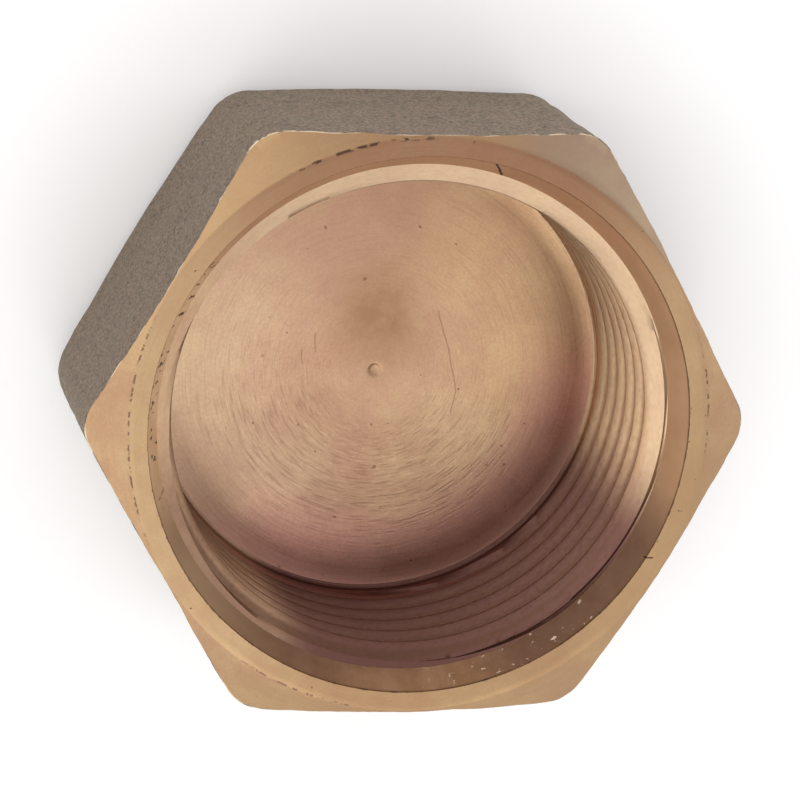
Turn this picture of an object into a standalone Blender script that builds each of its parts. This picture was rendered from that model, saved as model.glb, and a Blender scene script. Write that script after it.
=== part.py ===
"""Hexagonal brass pipe cap with a 1 inch parallel pipe thread.

One solid piece of brass. The closed end stands on z = 0 and the threaded mouth looks up along +Z.
The hexagon's corners lie on +X and -X, so two of its flats face +Y and -Y. Units are metres.
"""

import math

import bmesh
import bpy
from mathutils import Matrix, Vector

# Hexagon
ACROSS_FLATS = 0.038
CORNER_RADIUS = 0.0028
LENGTH = 0.0185
CORNER_STEPS = 6

# Turned mouth: a flat ring inside a shallow cone that takes the hexagon's corners off
FACE_RADIUS = 0.0188
MOUTH_CONE_ANGLE = math.radians(27)
COUNTERSINK_RADIUS = 0.0176
COUNTERSINK_FOOT_RADIUS = 0.0167
COUNTERSINK_DEPTH = 0.0022
LEDGE_ANGLE = math.radians(30)

# Closed end: as-cast, with its corners sloped back and its rim rounded
END_FACE_RADIUS = 0.0169
END_CONE_ANGLE = math.radians(25)
END_RIM_RADIUS = 0.003
END_RIM_STEPS = 4

# Thread: 55 degree pipe thread, 11 turns to the inch, bored to the top of the standard's minor diameter
PITCH = 0.0254 / 11
MAJOR_RADIUS = 0.033249 / 2
MINOR_RADIUS = 0.030931 / 2
FLANK_ANGLE = math.radians(27.5)
ROOT_FLAT = PITCH / 6
RUNOUT_ANGLE = math.radians(60)
LAST_GROOVE_CLEARANCE = 0.0012
THREAD_END_TURN = 100 / 360
GROOVE_OVERLAP = 0.0002

# Socket floor
SOCKET_DEPTH = 0.0157
FLOOR_CORNER_RADIUS = 0.0003
FLOOR_CORNER_STEPS = 3
CENTRE_DIMPLE_RADIUS = 0.0005
CENTRE_DIMPLE_DEPTH = 0.0003

TURN_STEPS = 72
BODY_STEPS = 96
CUTTER_MARGIN = 0.003
ENVELOPE_RADIUS = 0.025
SMOOTH_BELOW = math.radians(20)
WELD_DISTANCE = 1e-7

FLOOR_HEIGHT = LENGTH - SOCKET_DEPTH
APOTHEM = ACROSS_FLATS / 2


def clear_scene():
    for thing in list(bpy.data.objects):
        bpy.data.objects.remove(thing, do_unlink=True)


def brass():
    """Plain yellow brass, between the dull cast skin and the bright turned faces."""
    material = bpy.data.materials.new("brass")
    material.use_nodes = True
    shader = material.node_tree.nodes["Principled BSDF"]
    shader.inputs["Base Color"].default_value = (0.49, 0.30, 0.16, 1.0)
    shader.inputs["Metallic"].default_value = 1.0
    shader.inputs["Roughness"].default_value = 0.4
    return material


def object_from(name, mesh_maker):
    """A new object whose mesh is what mesh_maker leaves in a BMesh, with its faces turned out."""
    shape = bmesh.new()
    mesh_maker(shape)
    bmesh.ops.remove_doubles(shape, verts=shape.verts, dist=WELD_DISTANCE)
    bmesh.ops.recalc_face_normals(shape, faces=shape.faces)
    mesh = bpy.data.meshes.new(name)
    shape.to_mesh(mesh)
    shape.free()
    mesh.shade_smooth()
    mesh.set_sharp_from_angle(angle=SMOOTH_BELOW)
    made = bpy.data.objects.new(name, mesh)
    bpy.context.scene.collection.objects.link(made)
    return made


def arc(centre, radius, start, end, steps):
    """Points (across, along) on a circular arc, both ends included."""
    angles = [start + (end - start) * step / steps for step in range(steps + 1)]
    return [(centre[0] + radius * math.cos(a), centre[1] + radius * math.sin(a)) for a in angles]


def hexagon_outline():
    """The hexagon's outline with its six corners rounded, counter-clockwise from the corner on +X."""
    reach = (APOTHEM - CORNER_RADIUS) / math.cos(math.pi / 6)
    points = []
    for corner in range(6):
        heading = corner * math.pi / 3
        centre = (reach * math.cos(heading), reach * math.sin(heading))
        sweep = math.pi / 6
        points += arc(centre, CORNER_RADIUS, heading - sweep, heading + sweep, CORNER_STEPS)
    return points


def hexagon_prism(shape):
    base = [shape.verts.new((x, y, 0)) for x, y in hexagon_outline()]
    face = shape.faces.new(base)
    raised = bmesh.ops.extrude_face_region(shape, geom=[face])
    tops = [item for item in raised["geom"] if isinstance(item, bmesh.types.BMVert)]
    bmesh.ops.translate(shape, verts=tops, vec=(0, 0, LENGTH))


def turned(shape, profile, steps):
    """Spins a profile of (radius, height) points, which starts and ends on the Z axis, into a solid."""
    verts = [shape.verts.new((radius, 0, height)) for radius, height in profile]
    edges = [shape.edges.new(pair) for pair in zip(verts, verts[1:])]
    bmesh.ops.spin(shape, geom=verts + edges, axis=(0, 0, 1), cent=(0, 0, 0), angle=math.tau, steps=steps)


def corner_envelope(shape):
    """The turned solid that the hexagon is cut to.

    The mouth's cone is above, and the cast cone and its rounded rim are below.
    """
    mouth_drop = (ENVELOPE_RADIUS - FACE_RADIUS) * math.tan(MOUTH_CONE_ANGLE)
    end_rise = (ENVELOPE_RADIUS - END_FACE_RADIUS) * math.tan(END_CONE_ANGLE)
    inner = FACE_RADIUS - CUTTER_MARGIN / math.tan(MOUTH_CONE_ANGLE)
    rim_centre = (END_FACE_RADIUS - END_RIM_RADIUS * math.tan(END_CONE_ANGLE / 2), END_RIM_RADIUS)
    profile = [(0, 0)]
    profile += arc(rim_centre, END_RIM_RADIUS, -math.pi / 2, END_CONE_ANGLE - math.pi / 2, END_RIM_STEPS)
    profile += [
        (ENVELOPE_RADIUS, end_rise),
        (ENVELOPE_RADIUS, LENGTH - mouth_drop),
        (inner, LENGTH + CUTTER_MARGIN),
        (0, LENGTH + CUTTER_MARGIN),
    ]
    turned(shape, profile, BODY_STEPS)


def socket(shape):
    """The bore at the thread's crests, its countersunk mouth, and the floor with its centre dimple."""
    ledge_height = LENGTH - COUNTERSINK_DEPTH
    ledge_foot = ledge_height - (COUNTERSINK_FOOT_RADIUS - MINOR_RADIUS) * math.tan(LEDGE_ANGLE)
    slope = (COUNTERSINK_RADIUS - COUNTERSINK_FOOT_RADIUS) / COUNTERSINK_DEPTH
    corner = (MINOR_RADIUS - FLOOR_CORNER_RADIUS, FLOOR_HEIGHT + FLOOR_CORNER_RADIUS)
    profile = [(0, FLOOR_HEIGHT - CENTRE_DIMPLE_DEPTH), (CENTRE_DIMPLE_RADIUS, FLOOR_HEIGHT)]
    profile += arc(corner, FLOOR_CORNER_RADIUS, -math.pi / 2, 0, FLOOR_CORNER_STEPS)
    profile += [
        (MINOR_RADIUS, ledge_foot),
        (COUNTERSINK_FOOT_RADIUS, ledge_height),
        (COUNTERSINK_RADIUS + slope * CUTTER_MARGIN, LENGTH + CUTTER_MARGIN),
        (0, LENGTH + CUTTER_MARGIN),
    ]
    turned(shape, profile, TURN_STEPS)


def groove_section(root_radius):
    """The groove's four corners as (radius, height above its middle), from the inner lower one round."""
    inner_radius = MINOR_RADIUS - GROOVE_OVERLAP
    root_half = ROOT_FLAT / 2 + (MAJOR_RADIUS - root_radius) * math.tan(FLANK_ANGLE)
    inner_half = ROOT_FLAT / 2 + (MAJOR_RADIUS - inner_radius) * math.tan(FLANK_ANGLE)
    return [
        (inner_radius, -inner_half),
        (root_radius, -root_half),
        (root_radius, root_half),
        (inner_radius, inner_half),
    ]


def thread_groove(shape):
    """The right-hand helical groove. It starts clear of the mouth and fades out above the floor.

    It ends THREAD_END_TURN of a turn from +X, clockwise as seen from the mouth.
    """
    last = FLOOR_HEIGHT + LAST_GROOVE_CLEARANCE
    least_turns = (LENGTH - COUNTERSINK_DEPTH + PITCH - last) / PITCH
    turns = THREAD_END_TURN + math.ceil(least_turns - THREAD_END_TURN)
    first = last + turns * PITCH
    steps = round(turns * TURN_STEPS)
    runout_steps = round(RUNOUT_ANGLE / math.tau * TURN_STEPS)
    shallowest = MINOR_RADIUS - GROOVE_OVERLAP / 2
    rings = []
    for step in range(steps + 1):
        left = min(1.0, (steps - step) / runout_steps)
        # Half a step round from the bore's own edges, so that the two shapes share no points.
        angle = -(step + 0.5) / TURN_STEPS * math.tau
        height = first - step / TURN_STEPS * PITCH
        section = groove_section(shallowest + (MAJOR_RADIUS - shallowest) * left)
        turn = Matrix.Rotation(angle, 3, "Z")
        rings.append([shape.verts.new(turn @ Vector((r, 0, height + z))) for r, z in section])
    for ring, following in zip(rings, rings[1:]):
        for side in range(4):
            shape.faces.new((ring[side], ring[side - 1], following[side - 1], following[side]))
    shape.faces.new(rings[0])
    shape.faces.new(reversed(rings[-1]))


def trim(target, cutter, operation):
    """Cuts the target with a helper solid, which is kept in the scene as a hidden wire guide."""
    cutter.hide_render = True
    cutter.display_type = "WIRE"
    boolean = target.modifiers.new(cutter.name, "BOOLEAN")
    boolean.operation = operation
    boolean.solver = "EXACT"
    boolean.object = cutter


def main():
    clear_scene()
    cap = object_from("cap_body", hexagon_prism)
    cap.data.materials.append(brass())
    trim(cap, object_from("corner_envelope", corner_envelope), "INTERSECT")
    trim(cap, object_from("socket_cutter", socket), "DIFFERENCE")
    trim(cap, object_from("thread_cutter", thread_groove), "DIFFERENCE")


main()
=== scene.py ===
"""The looks of the brass hexagonal pipe cap: one turned casting, with its cast skin and tool marks.

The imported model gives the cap's place and size. One finer mesh stands for it, made as a closed grid of
columns round the thread's axis and rows along the cap's section. Units are metres, +Z out of the mouth.
"""

import math

import bpy
import numpy as np
from mathutils import Matrix, Vector, noise


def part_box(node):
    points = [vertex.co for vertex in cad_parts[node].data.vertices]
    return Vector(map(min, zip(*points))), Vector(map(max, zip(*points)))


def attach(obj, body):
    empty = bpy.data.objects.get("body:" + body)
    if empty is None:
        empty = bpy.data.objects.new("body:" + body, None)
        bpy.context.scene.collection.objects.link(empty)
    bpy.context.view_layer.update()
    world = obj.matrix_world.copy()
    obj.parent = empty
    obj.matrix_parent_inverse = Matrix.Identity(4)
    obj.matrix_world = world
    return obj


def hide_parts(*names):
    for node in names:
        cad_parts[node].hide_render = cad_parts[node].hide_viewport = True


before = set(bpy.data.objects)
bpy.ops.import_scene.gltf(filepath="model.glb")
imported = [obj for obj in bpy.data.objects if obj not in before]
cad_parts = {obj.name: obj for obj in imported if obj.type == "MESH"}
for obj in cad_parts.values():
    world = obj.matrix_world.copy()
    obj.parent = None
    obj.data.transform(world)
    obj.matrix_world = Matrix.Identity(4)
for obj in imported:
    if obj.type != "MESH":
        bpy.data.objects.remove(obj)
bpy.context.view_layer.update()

# The cap's section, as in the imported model
_, (_, APOTHEM, LENGTH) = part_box("cap_body")
CORNER_RADIUS = 0.0028
FACE_RADIUS = 0.0188
MOUTH_CONE_ANGLE = math.radians(27)
COUNTERSINK_RADIUS = 0.0176
COUNTERSINK_FOOT_RADIUS = 0.0167
COUNTERSINK_DEPTH = 0.0022
LEDGE_ANGLE = math.radians(30)
END_FACE_RADIUS = 0.0169
END_CONE_ANGLE = math.radians(25)
SOCKET_DEPTH = 0.0157
FLOOR_CORNER_RADIUS = 0.0003
PITCH = 0.0254 / 11
MAJOR_RADIUS = 0.033249 / 2
MINOR_RADIUS = 0.030931 / 2
LAST_GROOVE_CLEARANCE = 0.0012
THREAD_END_TURN = 100 / 360
RUNOUT_TURNS = 1 / 6
FLOOR_HEIGHT = LENGTH - SOCKET_DEPTH
LEDGE_HEIGHT = LENGTH - COUNTERSINK_DEPTH
LEDGE_FOOT = LEDGE_HEIGHT - (COUNTERSINK_FOOT_RADIUS - MINOR_RADIUS) * math.tan(LEDGE_ANGLE)
WALL_FOOT = FLOOR_HEIGHT + FLOOR_CORNER_RADIUS

# The groove starts above the ledge, and fades out above the floor, THREAD_END_TURN clockwise from +X
GROOVE_FOOT = FLOOR_HEIGHT + LAST_GROOVE_CLEARANCE
LEAST_TURNS = (LEDGE_HEIGHT + PITCH - GROOVE_FOOT) / PITCH
GROOVE_TURNS = THREAD_END_TURN + math.ceil(LEAST_TURNS - THREAD_END_TURN)
GROOVE_TOP = GROOVE_FOOT + GROOVE_TURNS * PITCH

# Mesh rows and columns
CORNER_COLUMNS = 14
FLAT_COLUMNS = 52
CORNER_SPAN = math.radians(4.4)
THREAD_PHASES = (-0.47, -0.44, -0.33, -0.20, -0.083, -0.03, 0.03, 0.083, 0.20, 0.33, 0.44, 0.47)
FLOOR_ROWS = 14
FLOOR_CORNER_STEPS = 3
SIDE_ROWS = 30
EASED_STEPS = 5
WELD_DISTANCE = 2e-7
SMOOTH_BELOW = math.radians(26)

# The centre dimple, with its lip: radius, and height above the floor
DIMPLE = ((0.0, -0.00009), (0.00024, -0.00008), (0.00038, -0.00004), (0.00047, 0.0), (0.00060, 0.00001))

# The cast skin: how far it sinks, the scale of its bumps, and where it turns over at the closed end
SKIN_DEPTH = 0.00016
SKIN_SCALE = 260.0
SKIN_TURN_HEIGHT = 0.003
SKIN_TURN_RADIUS = 0.002
RIM_EASE = 0.0008
END_EASE = 0.0012

CAST, TURNED, THREAD, FLOOR = range(4)

# Over this distance one colour gives way to the next
BLEND = 0.0001

# Painted light and shade: changes of a metal's colour by heading that stand in for highlights, reflections
# and shadows, where each is full within the first number of degrees and has faded by the second: heading,
# full, faded, strength, colour
# Painted highlights: the flat ring paler towards its left and its right
RING_SIDE_HIGHLIGHTS = (
    (180, 40, 80, 0.28, (0.56, 0.40, 0.21)),
    (5, 30, 60, 0.28, (0.56, 0.40, 0.21)),
)
# Painted shade: the ring and the cone darker towards -60°
MOUTH_LOW_SHADE = ((-60, 42, 74, 0.42, (0.29, 0.18, 0.085)),)
# Painted light and shade on the cone: a painted highlight towards 114°, and a greyer painted shade towards
# 52°
CONE_TOP_LIGHT_AND_SHADE = (
    (114, 32, 56, 0.45, (0.51, 0.32, 0.16)),
    (52, 12, 28, 0.50, (0.30, 0.24, 0.19)),
)
# Painted shade: the flat ring darker and redder towards its top, standing in for a dark reflection
RING_TOP_SHADE = ((88, 22, 62, 0.62, (0.245, 0.116, 0.066)),)
# Painted light and shade on the countersink: painted highlights towards 180°, 85° and 6°, painted shade
# towards -134° and -44°
COUNTERSINK_LIGHT_AND_SHADE = (
    (180, 32, 70, 1.0, (1.0, 0.76, 0.50)),
    (85, 40, 75, 1.0, (0.67, 0.41, 0.25)),
    (6, 16, 40, 0.6, (0.86, 0.60, 0.37)),
    (-134, 14, 38, 0.45, (0.175, 0.092, 0.080)),
    (-44, 14, 34, 0.56, (0.175, 0.092, 0.080)),
)
# Painted highlight: the threaded wall paler towards its right
THREAD_RIGHT_HIGHLIGHT = ((18, 34, 66, 0.12, (0.66, 0.46, 0.25)),)
# Painted highlight: the ledge paler towards its top
LEDGE_TOP_HIGHLIGHT = ((60, 60, 95, 0.40, (0.64, 0.49, 0.34)),)

# The same painted light and shade for the floor (darker towards 95° and -100°, paler towards 22° and 188°,
# a painted pink reflection towards -62°, painted shade at the edge towards -75°), where each grows from
# nothing at the first radius to full at the second
FLOOR_LIGHT_AND_SHADE = (
    ((95, 22, 62, 0.40, (0.30, 0.155, 0.095)), 0.0035, 0.0100),
    ((-100, 30, 80, 0.36, (0.30, 0.160, 0.105)), 0.0020, 0.0050),
    ((22, 25, 60, 0.25, (0.70, 0.45, 0.20)), 0.0035, 0.0100),
    ((188, 40, 85, 0.22, (0.72, 0.55, 0.38)), 0.0035, 0.0100),
    ((-62, 45, 85, 0.62, (0.92, 0.44, 0.36)), 0.0088, 0.0135),
    ((-75, 50, 85, 0.42, (0.170, 0.086, 0.072)), 0.0139, 0.0149),
)

# Scratches: start and end in plan, width, and how far each wanders from a straight line
MOUTH_SCRATCHES = (
    ((0.0039, 0.0171), (0.0048, 0.0160), 0.00011, 0.0002),
    ((0.0152, -0.0087), (0.0157, -0.0087), 0.00011, 0.0001),
)
FLOOR_SCRATCHES = (
    ((-0.0051, 0.0014), (-0.0050, 0.0005), 0.00010, 0.0002),
    ((-0.0042, 0.0025), (-0.0041, 0.0013), 0.00011, 0.0002),
    ((0.0042, 0.0041), (0.0052, 0.0008), 0.00010, 0.0002),
    ((0.0052, 0.0008), (0.0057, -0.0015), 0.00009, 0.0002),
    ((0.0057, -0.0015), (0.0054, -0.0030), 0.00008, 0.0002),
)


def column_angles():
    """Angles of the columns round the cap, closer together at the hexagon's corners."""
    corner = np.linspace(0, CORNER_SPAN, CORNER_COLUMNS, endpoint=False)
    flat = np.linspace(CORNER_SPAN, math.pi / 3 - CORNER_SPAN, FLAT_COLUMNS, endpoint=False)
    other = math.pi / 3 - np.linspace(CORNER_SPAN, 0, CORNER_COLUMNS, endpoint=False)
    sector = np.concatenate([corner, flat, other])
    return np.concatenate([sector + turn * math.pi / 3 for turn in range(6)])


def hexagon_radius(angle):
    """Distance from the axis to the rounded hexagon's outline."""
    turn = abs((angle + math.pi / 6) % (math.pi / 3) - math.pi / 6)
    reach = (APOTHEM - CORNER_RADIUS) / math.cos(math.pi / 6)
    flat = APOTHEM / math.cos(math.pi / 6 - turn)
    sideways = reach * math.sin(turn)
    rounded = reach * math.cos(turn) + math.sqrt(max(0.0, CORNER_RADIUS**2 - sideways**2))
    touch = math.atan2((APOTHEM - CORNER_RADIUS) * math.tan(math.pi / 6), APOTHEM)
    return rounded if turn < math.pi / 6 - touch else flat


def thread_share(phase):
    """Depth of the groove at a phase of the pitch: 0 at the crests, 1 at the root, with eased corners."""
    return np.interp(np.abs(phase), (0, 0.03, 0.083, 0.44, 0.47, 0.5), (1, 1, 0.95, 0.04, 0, 0))


def wall_radius(height, angle):
    """Radius of the wall: the thread where it is cut, else the bore, the ledge or the countersink."""
    turns = (GROOVE_TOP - height) / PITCH + angle / math.tau
    number = np.round(turns)
    fade = np.clip((GROOVE_TURNS - number + angle / math.tau) / RUNOUT_TURNS, 0, 1)
    depth = MAJOR_RADIUS - MINOR_RADIUS
    groove = MINOR_RADIUS + depth * np.maximum(0, thread_share(turns - number) + fade - 1)
    bore = np.interp(
        height,
        (WALL_FOOT, LEDGE_FOOT, LEDGE_HEIGHT, LENGTH),
        (MINOR_RADIUS, MINOR_RADIUS, COUNTERSINK_FOOT_RADIUS, COUNTERSINK_RADIUS),
    )
    return np.maximum(groove, bore)


def wall_heights(angle):
    """Heights down the wall that follow the helix, so that its crests and roots stay crisp."""
    turns = math.ceil((GROOVE_TOP - WALL_FOOT) / PITCH) + 2
    phases = np.concatenate([number + np.array(THREAD_PHASES) for number in range(turns)])
    heights = GROOVE_TOP - (phases - angle / math.tau) * PITCH
    heights = np.where(abs(heights - LEDGE_FOOT) < 0.0001, LEDGE_FOOT, heights)
    return np.clip(heights, WALL_FOOT, LEDGE_HEIGHT)


def skin_offset(angle, height, radius):
    """How far the cast skin lies inside the true hexagon, between 0 and SKIN_DEPTH."""
    point = Vector((math.cos(angle), math.sin(angle), 0)) * radius
    point.z = height
    coarse = noise.fractal(point * SKIN_SCALE, 0.7, 2.1, 5, noise_basis="PERLIN_ORIGINAL")
    return SKIN_DEPTH * (0.5 + 0.5 * max(-1.0, min(1.0, coarse)))


def floor_rows():
    """The floor from its centre to the wall's foot, as (radius, height, zone) rows."""
    rows = [(radius, FLOOR_HEIGHT + rise, FLOOR) for radius, rise in DIMPLE]
    edge = MINOR_RADIUS - FLOOR_CORNER_RADIUS
    rows += [(radius, FLOOR_HEIGHT, FLOOR) for radius in np.linspace(0.001, edge, FLOOR_ROWS)]
    for step in range(1, FLOOR_CORNER_STEPS):
        lean = math.pi / 2 * step / FLOOR_CORNER_STEPS
        radius = edge + FLOOR_CORNER_RADIUS * math.sin(lean)
        rows.append((radius, WALL_FOOT - FLOOR_CORNER_RADIUS * math.cos(lean), THREAD))
    return rows


def section(angle):
    """One column of the mesh, from the floor's centre round to the closed end's centre."""
    heights = wall_heights(angle)[::-1]
    wall = [(radius, height, THREAD) for radius, height in zip(wall_radius(heights, angle), heights)]
    return floor_rows() + wall + mouth(angle) + outside(angle)


def mouth(angle):
    """The countersink, the flat ring and the cone, as far as the hexagon's side."""
    rows = []
    for share in (0.04, 0.35, 0.65, 0.995):
        radius = COUNTERSINK_FOOT_RADIUS + share * (COUNTERSINK_RADIUS - COUNTERSINK_FOOT_RADIUS)
        rows.append((radius, LEDGE_HEIGHT + share * COUNTERSINK_DEPTH, TURNED))
    rows.append((COUNTERSINK_RADIUS + 0.00001, LENGTH, TURNED))
    rows += [(radius, LENGTH, TURNED) for radius in (0.0180, 0.0184, FACE_RADIUS - 0.00004)]
    top = cone_edge(angle)
    for share in (0.02, 0.25, 0.5, 0.75, 0.97):
        radius = FACE_RADIUS + share * (top - FACE_RADIUS)
        rows.append((radius, LENGTH - (radius - FACE_RADIUS) * math.tan(MOUTH_CONE_ANGLE), TURNED))
    return rows


def cone_edge(angle):
    """Where the turned cone runs out on the rough side."""
    radius = hexagon_radius(angle)
    height = LENGTH - (radius - FACE_RADIUS) * math.tan(MOUTH_CONE_ANGLE)
    return radius - skin_offset(angle, height, radius)


def eased_corner(before, corner, after):
    """Points on a smooth curve that cuts a corner off, both ends included."""
    shares = np.linspace(0, 1, EASED_STEPS + 1)
    ends = [np.array(point) for point in (before, corner, after)]
    return [tuple(ends[0] * (1 - t) ** 2 + ends[1] * 2 * t * (1 - t) + ends[2] * t**2) for t in shares]


def outside(angle):
    """The cast side, its rounded rim, the sloped rim of the closed end, and the closed end's face."""
    radius = hexagon_radius(angle)
    top = LENGTH - (cone_edge(angle) - FACE_RADIUS) * math.tan(MOUTH_CONE_ANGLE)
    slope = np.array((-math.cos(END_CONE_ANGLE), -math.sin(END_CONE_ANGLE)))
    corner = np.array((radius, (radius - END_FACE_RADIUS) * math.tan(END_CONE_ANGLE)))
    edge = np.array((END_FACE_RADIUS, 0.0))
    rim = eased_corner(corner + (0, RIM_EASE), corner, corner + slope * RIM_EASE)
    end_rim = eased_corner(edge - slope * END_EASE, edge, edge - (END_EASE, 0))
    side = [(radius, height) for height in np.linspace(top - 0.00006, rim[0][1], SIDE_ROWS)]
    face = [(share * (END_FACE_RADIUS - END_EASE), 0.0) for share in (0.8, 0.6, 0.4, 0.2, 0.0)]
    return [skinned(angle, *point) + (CAST,) for point in side[:-1] + rim + end_rim + face]


def skinned(angle, radius, height):
    """A point of the cast skin: the side sinks inwards, and the closed end sinks upwards."""
    sunk = skin_offset(angle, height, radius)
    lean = min(1.0, height / SKIN_TURN_HEIGHT)
    return radius - sunk * lean * min(1.0, radius / SKIN_TURN_RADIUS), height + sunk * (1 - lean)


def placed(angle, column):
    """A column's rows as points in the part's frame."""
    return [(radius * math.cos(angle), radius * math.sin(angle), height) for radius, height, _ in column]


def cap_mesh():
    """The closed grid. Where the helix comes round, a column's rows join those one pitch further on."""
    angles = column_angles()
    columns = [section(angle) for angle in angles]
    rows = len(columns[0])
    points = np.array([placed(angle, column) for angle, column in zip(angles, columns)])
    zones = np.array([zone for _, _, zone in columns[0]])
    shift = np.zeros(rows, int)
    wall = slice(len(floor_rows()), len(floor_rows()) + wall_heights(0).size)
    shift[wall] = len(THREAD_PHASES)
    keys = np.round(points.reshape(-1, 3) / WELD_DISTANCE).astype(np.int64)
    _, first, same = np.unique(keys, axis=0, return_index=True, return_inverse=True)
    same = same.reshape(len(angles), rows)
    faces, slots = [], []
    for column in range(len(angles)):
        after = (column + 1) % len(angles)
        step = shift if after == 0 else 0 * shift
        target = np.arange(rows) + step
        target[wall] = np.clip(target[wall], wall.start, wall.stop - 1)
        for row in range(rows - 1):
            quad = (same[column, row], same[after, target[row]])
            quad += (same[after, target[row + 1]], same[column, row + 1])
            corners = list(dict.fromkeys(reversed(quad)))
            if len(corners) > 2:
                faces.append(corners)
                slots.append(zones[row + 1])
    mesh = bpy.data.meshes.new("pipe_cap")
    mesh.from_pydata(points.reshape(-1, 3)[first].tolist(), [], faces)
    mesh.polygons.foreach_set("material_index", slots)
    mesh.validate()
    return mesh


class Graph:
    """Adds nodes to one tree. Each call returns an output socket to pass on to the next."""

    def __init__(self, tree):
        self.tree = tree

    def node(self, kind, inputs=(), output=0, **settings):
        node = self.tree.nodes.new(kind)
        for name, value in settings.items():
            setattr(node, name, value)
        for key, value in dict(inputs).items():
            if isinstance(value, bpy.types.NodeSocket):
                self.tree.links.new(value, node.inputs[key])
            else:
                node.inputs[key].default_value = value
        return node.outputs[output]

    def math(self, operation, *values):
        return self.node("ShaderNodeMath", enumerate(values), operation=operation)

    def product(self, *values):
        """All the values multiplied together."""
        total = values[0]
        for value in values[1:]:
            total = self.math("MULTIPLY", total, value)
        return total

    def length(self, across, along):
        squares = self.math("ADD", self.product(across, across), self.product(along, along))
        return self.math("SQRT", squares)

    def mix(self, factor, first, second):
        """The first colour, giving way to the second as the factor grows."""
        inputs = {0: factor}
        for place, colour in ((6, first), (7, second)):
            inputs[place] = colour if isinstance(colour, bpy.types.NodeSocket) else (*colour, 1)
        return self.node("ShaderNodeMix", inputs, 2, data_type="RGBA")

    def ramp(self, value, low, high, start=0.0, end=1.0):
        """A smooth step from start, where the value is low, to end, where it is high."""
        inputs = {0: value, 1: low, 2: high, 3: start, 4: end}
        return self.node("ShaderNodeMapRange", inputs, interpolation_type="SMOOTHSTEP")

    def noise(self, vector, scale, detail=3.0, roughness=0.55):
        inputs = {"Vector": vector, "Scale": scale, "Detail": detail, "Roughness": roughness}
        return self.node("ShaderNodeTexNoise", inputs)

    def scaled(self, vector, scale):
        return self.node("ShaderNodeVectorMath", {0: vector, "Scale": scale}, operation="SCALE")

    def vector(self, x, y, z):
        return self.node("ShaderNodeCombineXYZ", {0: x, 1: y, 2: z})

    def bump(self, height, distance):
        return self.node("ShaderNodeBump", {"Height": height, "Distance": distance, "Strength": 1.0})


class Turned:
    """A metal's node tree, with coordinates that follow the lathe's turning: radius, height and heading."""

    def __init__(self, name):
        self.material = bpy.data.materials.new(name)
        self.material.use_nodes = True
        self.shader = self.material.node_tree.nodes["Principled BSDF"]
        self.graph = Graph(self.material.node_tree)
        self.place = self.graph.node("ShaderNodeTexCoord", output=3)
        parts = self.graph.tree.nodes.new("ShaderNodeSeparateXYZ")
        self.graph.tree.links.new(self.place, parts.inputs[0])
        self.x, self.y, self.z = parts.outputs
        self.radius = self.graph.math("MAXIMUM", self.graph.length(self.x, self.y), 1e-5)
        self.east = self.graph.math("DIVIDE", self.x, self.radius)
        self.north = self.graph.math("DIVIDE", self.y, self.radius)

    def stretched(self, across, around, height=0.0):
        """Coordinates for marks drawn out along the turning, with no seam."""
        g = self.graph
        rise = g.product(self.z, height)
        return g.vector(
            g.math("ADD", g.product(self.radius, across), rise),
            g.product(self.east, around),
            g.product(self.north, around),
        )

    def toward(self, degrees, inner, outer):
        """1 within the inner number of degrees of a heading, fading to 0 at the outer one."""
        g = self.graph
        heading = math.radians(degrees)
        north = g.product(self.north, math.sin(heading))
        along = g.math("MULTIPLY_ADD", self.east, math.cos(heading), north)
        return g.ramp(along, math.cos(math.radians(outer)), math.cos(math.radians(inner)))

    def lit_and_shaded(self, colour, tints, where):
        """A colour with a table of painted light and shade by heading laid over it, within a mask."""
        g = self.graph
        for heading, full, faded, strength, tint in tints:
            colour = g.mix(g.product(self.toward(heading, full, faded), where, strength), colour, tint)
        return colour

    def ring(self, radius, inner, outer):
        """1 within the inner distance of a circle, fading to 0 at the outer one."""
        g = self.graph
        away = g.math("ABSOLUTE", g.math("SUBTRACT", self.radius, radius))
        return g.ramp(away, inner, outer, 1.0, 0.0)

    def spot(self, x, y, inner, outer, stretch=1.0):
        """1 within the inner distance of a point of the plan, fading to 0 at the outer one."""
        g = self.graph
        across = g.math("SUBTRACT", self.x, x)
        along = g.math("DIVIDE", g.math("SUBTRACT", self.y, y), stretch)
        return g.ramp(g.length(across, along), inner, outer, 1.0, 0.0)

    def scratch(self, start, end, width, wander):
        """1 on a slightly crooked line between two points of the plan, fading to 0 beside it."""
        g = self.graph
        run = Vector(end) - Vector(start)
        crooked = g.math("MULTIPLY_ADD", g.noise(self.place, 900, 2.0), wander, -wander / 2)
        across = g.math("ADD", g.math("SUBTRACT", self.x, start[0]), crooked)
        along = g.math("ADD", g.math("SUBTRACT", self.y, start[1]), crooked)
        share = g.math("MULTIPLY_ADD", across, run.x, g.product(along, run.y))
        inputs = {0: share, 1: run.length_squared}
        share = g.node("ShaderNodeMath", inputs, operation="DIVIDE", use_clamp=True)
        across = g.math("SUBTRACT", across, g.product(share, run.x))
        along = g.math("SUBTRACT", along, g.product(share, run.y))
        return g.ramp(g.length(across, along), width * 0.3, width * 0.7, 1.0, 0.0)

    def scratched(self, marks, scratches):
        """A mask of marks with a table of scratches added to it."""
        for scratch in scratches:
            marks = self.graph.math("MAXIMUM", marks, self.scratch(*scratch))
        return marks

    def finish(self, colour, roughness, normal, metallic=1.0, anisotropic=0.0):
        links = self.graph.tree.links
        links.new(colour, self.shader.inputs["Base Color"])
        links.new(roughness, self.shader.inputs["Roughness"])
        links.new(normal, self.shader.inputs["Normal"])
        self.shader.inputs["Metallic"].default_value = metallic
        if anisotropic:
            self.shader.inputs["Anisotropic"].default_value = anisotropic
            tangent = self.graph.node("ShaderNodeTangent", direction_type="RADIAL", axis="Z")
            links.new(tangent, self.shader.inputs["Tangent"])
        return self.material


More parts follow.
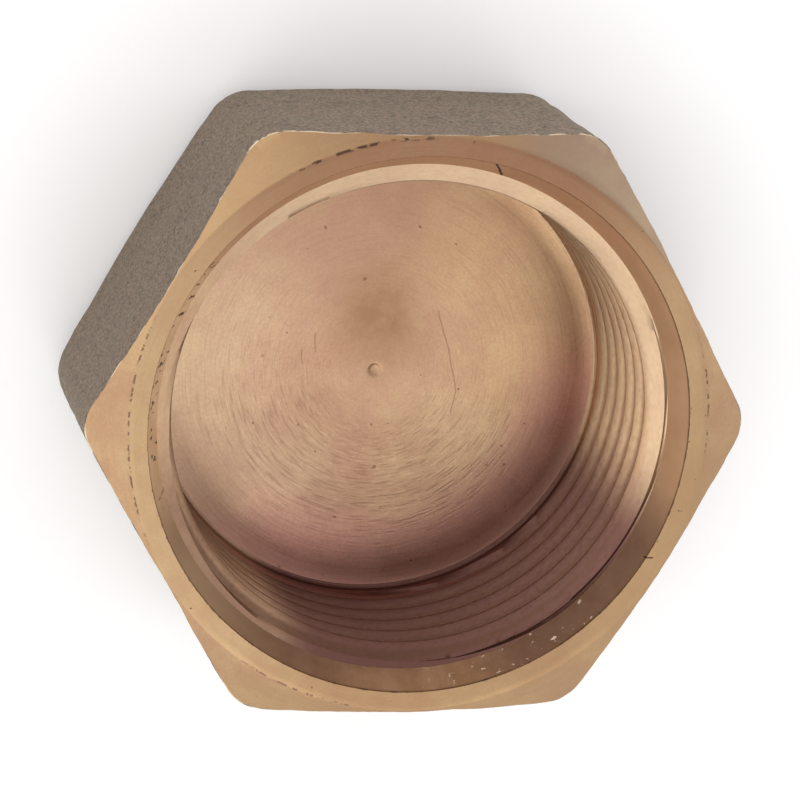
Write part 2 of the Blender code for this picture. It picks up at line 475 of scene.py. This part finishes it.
def cast_skin():
    """The rough skin left by the mould: dull and grained, with a bright burr along the turned edge."""
    metal = Turned("cast_skin")
    g = metal.graph
    grain = g.noise(metal.place, 5200, 2.0, 0.7)
    pits = g.ramp(g.noise(metal.place, 2300, 3.0, 0.6), 0.30, 0.42)
    patches = g.noise(metal.place, 210, 4.0, 0.6)
    colour = g.mix(g.ramp(patches, 0.35, 0.65), (0.192, 0.128, 0.086), (0.184, 0.142, 0.084))
    flush = g.ramp(g.noise(metal.place, 230, 3.0, 0.6), 0.48, 0.66, 0.0, 0.60)
    colour = g.mix(flush, colour, (0.205, 0.108, 0.084))
    # Painted shade: the cast side darker towards 165°
    colour = g.mix(g.product(metal.toward(165, 28, 58), 0.58), colour, (0.092, 0.054, 0.034))
    dark = g.mix(0.74, colour, (0.074, 0.056, 0.040))
    pale = g.mix(0.38, colour, (0.38, 0.31, 0.22))
    colour = g.mix(g.ramp(grain, 0.32, 0.68), dark, pale)
    colour = g.mix(g.product(g.math("SUBTRACT", 1.0, pits), 0.7), colour, (0.075, 0.060, 0.045))

    # The burr: a ragged strip beside the cone's plane, which the cast side meets at the turned edge
    slope = math.tan(MOUTH_CONE_ANGLE)
    rise = g.math("MULTIPLY_ADD", metal.radius, slope, metal.z)
    depth = g.math("SUBTRACT", LENGTH + FACE_RADIUS * slope, rise)
    ragged = g.math("MULTIPLY_ADD", g.noise(metal.place, 700), 0.00080, -0.00036)
    burr = g.ramp(g.math("SUBTRACT", depth, ragged), -0.00004, 0.00005, 1.0, 0.0)
    burr = g.product(burr, g.ramp(g.noise(metal.place, 420, 3.0), 0.44, 0.54, 0.15, 1.0))
    colour = g.mix(burr, colour, (0.62, 0.50, 0.34))
    relief = g.math("MULTIPLY_ADD", grain, 0.5, g.product(pits, 0.5))
    return metal.finish(colour, g.ramp(burr, 0.0, 1.0, 0.72, 0.35), g.bump(relief, 0.00007), 0.45)


def nicked(metal, surface, where, spread, threshold, shade):
    """Adds small nicks to a surface's colour and relief, where the mask lets them through."""
    g = metal.graph
    colour, relief = surface
    marks = g.ramp(g.noise(spread, 1.0, 2.0, 0.5), threshold, threshold + 0.05)
    marks = g.product(marks, where)
    return g.mix(marks, colour, shade), g.math("SUBTRACT", relief, marks)


def grained(metal, colour, shade):
    """Darkens a colour with the fine grain of the turned faces."""
    g = metal.graph
    grain = g.noise(metal.place, 5600, 2.0, 0.7)
    return g.mix(g.ramp(grain, 0.34, 0.66, 0.20, 0.0), colour, shade)


def chipped(metal, surface):
    """Chips where the ring meets the cone, torn at the top, and pits on the ring."""
    g = metal.graph
    worn = g.math("MAXIMUM", metal.toward(180, 14, 26), metal.toward(6, 5, 14))
    worn = g.math("MAXIMUM", worn, metal.toward(-113, 9, 15))
    worn = g.product(metal.ring(FACE_RADIUS, 0.00002, 0.00010), worn)
    surface = nicked(metal, surface, worn, metal.stretched(3000, 55), 0.50, (0.170, 0.100, 0.066))
    torn = g.product(metal.ring(FACE_RADIUS - 0.00006, 0.00003, 0.00016), metal.toward(104, 11, 16))
    surface = nicked(metal, surface, torn, metal.stretched(3200, 26), 0.50, (0.095, 0.052, 0.036))
    ring = metal.ring((FACE_RADIUS + COUNTERSINK_RADIUS) / 2, 0.0004, 0.0010)
    return nicked(metal, surface, ring, g.scaled(metal.place, 1900), 0.72, (0.13, 0.085, 0.060))


def countersunk(metal, surface, mottle, inside):
    """The countersink: pale, with painted highlights and painted shade by heading, and marked with bright
    nicks and dark dots.
    """
    g = metal.graph
    colour, relief = surface
    bore = g.mix(g.ramp(mottle, 0.35, 0.65), (0.52, 0.32, 0.19), (0.62, 0.41, 0.26))
    bore = metal.lit_and_shaded(bore, COUNTERSINK_LIGHT_AND_SHADE, 1.0)
    surface = g.mix(inside, colour, bore), relief
    scored = g.product(inside, metal.toward(-64, 12, 26))
    surface = nicked(metal, surface, scored, g.scaled(metal.place, 1900), 0.66, (1.0, 0.90, 0.72))
    dotted = g.product(inside, metal.toward(168, 16, 34))
    return nicked(metal, surface, dotted, metal.stretched(2400, 46), 0.61, (0.170, 0.096, 0.064))


def turned_face():
    """The faced mouth: the ring, the cone round it and the countersink, with mottling, painted light and
    shade, and nicks.
    """
    metal = Turned("turned_face")
    g = metal.graph
    patches = g.noise(metal.place, 240, 4.0, 0.6)
    colour = g.mix(g.ramp(patches, 0.36, 0.66), (0.375, 0.232, 0.134), (0.415, 0.280, 0.155))
    mottle = g.noise(metal.stretched(900, 9), 1.0, 4.0, 0.65)
    colour = g.mix(g.ramp(mottle, 0.35, 0.62, 0.30, 0.0), colour, (0.330, 0.180, 0.110))
    lines = g.noise(metal.stretched(7500, 5), 1.0, 2.0, 0.5)
    colour = g.mix(g.ramp(lines, 0.30, 0.48, 0.22, 0.0), colour, (0.30, 0.17, 0.10))
    colour = grained(metal, colour, (0.23, 0.14, 0.085))

    flat = g.ramp(metal.radius, FACE_RADIUS - BLEND, FACE_RADIUS + BLEND, 1.0, 0.0)
    cone = g.math("SUBTRACT", 1.0, flat)
    for tints, where in ((RING_SIDE_HIGHLIGHTS, flat), (MOUTH_LOW_SHADE, 1.0), (CONE_TOP_LIGHT_AND_SHADE, cone), (RING_TOP_SHADE, flat)):
        colour = metal.lit_and_shaded(colour, tints, where)
    surface = chipped(metal, (colour, g.product(lines, 0.16)))
    inside = g.ramp(metal.radius, COUNTERSINK_RADIUS - BLEND, COUNTERSINK_RADIUS + BLEND / 5, 1.0, 0.0)
    colour, relief = countersunk(metal, surface, mottle, inside)

    # The lip is ragged, most of all low down. One scratch runs down from it, and one crosses it
    lip = metal.ring(COUNTERSINK_RADIUS, 0.00002, 0.00007)
    ragged = g.ramp(g.noise(metal.stretched(0, 26), 1.0, 3.0, 0.7), 0.50, 0.64)
    ragged = g.product(ragged, g.ramp(metal.north, -0.1, 0.4, 0.8, 0.05))
    colour = g.mix(g.product(lip, ragged), colour, (0.16, 0.10, 0.07))
    crack = metal.scratched(0.0, MOUTH_SCRATCHES)
    colour = g.mix(crack, colour, (0.110, 0.060, 0.042))
    relief = g.math("SUBTRACT", relief, crack)
    roughness = g.math("ADD", g.ramp(patches, 0.3, 0.7, 0.36, 0.27), g.product(inside, 0.34))
    return metal.finish(colour, roughness, g.bump(relief, 0.000014), 1.0, 0.35)


def cut_thread():
    """The threaded wall and its ledge: torn a little by the tool, with mauve shade painted low down."""
    metal = Turned("cut_thread")
    g = metal.graph
    patches = g.noise(metal.place, 300, 4.0, 0.6)
    colour = g.mix(g.ramp(patches, 0.36, 0.66), (0.490, 0.315, 0.200), (0.540, 0.365, 0.222))
    grain = g.noise(metal.stretched(2600, 40, 2600), 1.0, 3.0, 0.65)
    wall = g.ramp(metal.z, LEDGE_FOOT - 4 * BLEND, LEDGE_FOOT - BLEND, 1.0, 0.0)
    ledge = g.math("SUBTRACT", 1.0, wall)
    torn = g.product(g.ramp(grain, 0.28, 0.52, 0.22, 0.0), g.math("MULTIPLY_ADD", wall, 0.7, 0.3))
    colour = g.mix(torn, colour, (0.27, 0.15, 0.10))
    colour = metal.lit_and_shaded(colour, THREAD_RIGHT_HIGHLIGHT, 1.0)
    colour = metal.lit_and_shaded(colour, LEDGE_TOP_HIGHLIGHT, ledge)

    # Painted shadow: mauve shade over the lower wall, and over the ledge at the lower left
    shade = g.product(metal.toward(-70, 40, 62), 0.90)
    shade = g.math("MAXIMUM", shade, g.product(metal.toward(-122, 24, 46), 0.42))
    shade = g.math("MAXIMUM", shade, g.product(metal.toward(-134, 22, 44), ledge, 0.52))
    colour = g.mix(shade, colour, (0.118, 0.050, 0.046))
    # Painted shade in the grooves and along the crests, drawing the thread's dark lines
    groove_shade = g.ramp(metal.radius, MINOR_RADIUS + 0.00028, MINOR_RADIUS + 0.00058, 0.0, 0.70)
    colour = g.mix(g.product(wall, groove_shade), colour, (0.130, 0.066, 0.042))
    crest = metal.ring(MINOR_RADIUS, 0.00004, 0.00012)
    crest = g.product(crest, g.ramp(metal.z, LEDGE_FOOT - 2 * BLEND, LEDGE_FOOT - BLEND), 0.7)
    colour = g.mix(crest, colour, (0.17, 0.095, 0.060))
    return metal.finish(colour, g.ramp(grain, 0.3, 0.7, 0.52, 0.42), g.bump(grain, 0.000016))


def floor_colour(metal, patches):
    """The floor's colour before its tool marks: painted light and shade by heading, with a flush and a
    brown smudge.
    """
    g = metal.graph
    colour = g.mix(g.ramp(patches, 0.36, 0.66), (0.515, 0.310, 0.200), (0.550, 0.375, 0.218))
    for tint, first, last in FLOOR_LIGHT_AND_SHADE:
        colour = metal.lit_and_shaded(colour, (tint,), g.ramp(metal.radius, first, last))
    flush = g.product(metal.spot(-0.0022, 0.0078, 0.0010, 0.0060), 0.40)
    colour = g.mix(flush, colour, (0.440, 0.245, 0.180))
    smudge = metal.spot(0.0002, 0.0036, 0.0006, 0.0050, 1.2)
    smudge = g.product(smudge, g.ramp(g.noise(metal.place, 420, 4.0, 0.65), 0.32, 0.68, 0.50, 0.80))
    return g.mix(smudge, colour, (0.27, 0.140, 0.070))


def turned_floor():
    """The socket's floor: fine turning marks, chatter arcs low down and a few scratches."""
    metal = Turned("turned_floor")
    g = metal.graph
    patches = g.noise(metal.place, 190, 4.0, 0.6)
    colour = floor_colour(metal, patches)
    fine = g.noise(metal.stretched(8000, 3.0), 1.0, 2.0, 0.6)
    arcs = g.noise(metal.stretched(7200, 6.0), 1.0, 2.0, 0.5)
    band = g.product(
        g.ramp(metal.radius, 0.0025, 0.0055),
        g.ramp(metal.radius, 0.0095, 0.0135, 1.0, 0.15),
        metal.toward(-105, 40, 125),
    )
    chatter = g.product(g.ramp(arcs, 0.30, 0.50, 1.0, 0.0), band)
    # Painted highlights: pale glints along the arcs
    glints = g.product(g.ramp(arcs, 0.58, 0.70), band)
    colour = g.mix(g.ramp(fine, 0.32, 0.50, 0.24, 0.0), colour, (0.33, 0.19, 0.12))
    colour = g.mix(g.product(chatter, 0.38), colour, (0.22, 0.12, 0.08))
    colour = g.mix(g.product(glints, 0.20), colour, (0.80, 0.60, 0.41))
    colour = grained(metal, colour, (0.28, 0.165, 0.105))
    relief = g.math("MULTIPLY_ADD", fine, 0.35, g.product(chatter, -0.50))

    # One dark pit at the left, the scratches, and specks all over
    pit = metal.spot(-0.0077, 0.0010, 0.00006, 0.00015)
    marks = metal.scratched(pit, FLOOR_SCRATCHES)
    specks = g.ramp(g.noise(metal.place, 1700, 1.0), 0.775, 0.79)
    marks = g.math("MAXIMUM", g.product(marks, 0.42), g.product(specks, 0.7))
    colour = g.mix(marks, colour, (0.20, 0.095, 0.060))
    relief = g.math("SUBTRACT", relief, marks)
    return metal.finish(colour, g.ramp(patches, 0.3, 0.7, 0.40, 0.32), g.bump(relief, 0.000009), 1.0, 0.3)


def make_cap():
    mesh = cap_mesh()
    for material in (cast_skin(), turned_face(), cut_thread(), turned_floor()):
        mesh.materials.append(material)
    mesh.shade_smooth()
    mesh.set_sharp_from_angle(angle=SMOOTH_BELOW)
    cap = bpy.data.objects.new("pipe_cap", mesh)
    bpy.context.scene.collection.objects.link(cap)
    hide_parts("cap_body")
    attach(cap, "root")
    return cap


# Camera: above the mouth, on the -X +Y side, with the image's top towards +Y
CAMERA_AIM = Vector((-0.00158, 0.00194, LENGTH))
CAMERA_DISTANCE = 0.2277
CAMERA_FORWARD = Vector((0.2066, -0.2455, -0.9471))
CAMERA_UP = Vector((0.0047, 0.9683, -0.2499))
CAMERA_LENS = 162.1
CAMERA_SENSOR = 36

# Half the side of the square that the cap stands on
STUDIO_REACH = 3.0


def make_camera():
    data = bpy.data.cameras.new("camera")
    data.sensor_width = CAMERA_SENSOR
    data.lens = CAMERA_LENS
    camera = bpy.data.objects.new("camera", data)
    bpy.context.scene.collection.objects.link(camera)
    back = -CAMERA_FORWARD.normalized()
    right = CAMERA_UP.cross(back).normalized()
    facing = Matrix((right, back.cross(right), back)).transposed()
    camera.matrix_world = Matrix.Translation(CAMERA_AIM + back * CAMERA_DISTANCE) @ facing.to_4x4()
    bpy.context.scene.camera = camera


def make_floor():
    mesh = bpy.data.meshes.new("studio_floor")
    corners = [(x * STUDIO_REACH, y * STUDIO_REACH, 0) for x, y in ((-1, -1), (1, -1), (1, 1), (-1, 1))]
    mesh.from_pydata(corners, [], [(0, 1, 2, 3)])
    floor = bpy.data.objects.new("studio_floor", mesh)
    bpy.context.scene.collection.objects.link(floor)
    material = bpy.data.materials.new("pale_floor")
    material.use_nodes = True
    shader = material.node_tree.nodes["Principled BSDF"]
    shader.inputs["Base Color"].default_value = (0.9, 0.9, 0.9, 1.0)
    shader.inputs["Roughness"].default_value = 0.9
    mesh.materials.append(material)


# The studio round the cap: a pale dome, brighter or darker towards these headings.
# Each patch: direction, degrees where it is full and where it has faded, and the light there
PATCHES = (
    ((-0.90, -0.25, 0.36), 20, 55, (1.75, 1.73, 1.70)),
    ((0.10, -0.60, 0.79), 8, 27, (1.95, 1.93, 1.90)),
    ((0.42, 0.12, 0.90), 12, 34, (0.92, 0.86, 0.90)),
    ((0.20, 0.66, 0.73), 12, 34, (0.78, 0.72, 0.74)),
)
DOME_LIGHT = (1.38, 1.38, 1.38)


def make_world():
    """Soft studio light all round, which the bright metal mirrors."""
    world = bpy.data.worlds.new("studio")
    bpy.context.scene.world = world
    world.use_nodes = True
    g = Graph(world.node_tree)
    heading = g.node("ShaderNodeTexCoord")
    light = g.vector(*DOME_LIGHT)
    for direction, full, faded, tint in PATCHES:
        inputs = {0: heading, 1: Vector(direction).normalized()}
        facing = g.node("ShaderNodeVectorMath", inputs, 1, operation="DOT_PRODUCT")
        share = g.ramp(facing, math.cos(math.radians(faded)), math.cos(math.radians(full)))
        light = g.mix(share, light, tint)
    world.node_tree.links.new(light, world.node_tree.nodes["Background"].inputs["Color"])


def main():
    bpy.context.scene.view_settings.view_transform = "Standard"
    make_camera()
    make_cap()
    make_floor()
    make_world()


main()
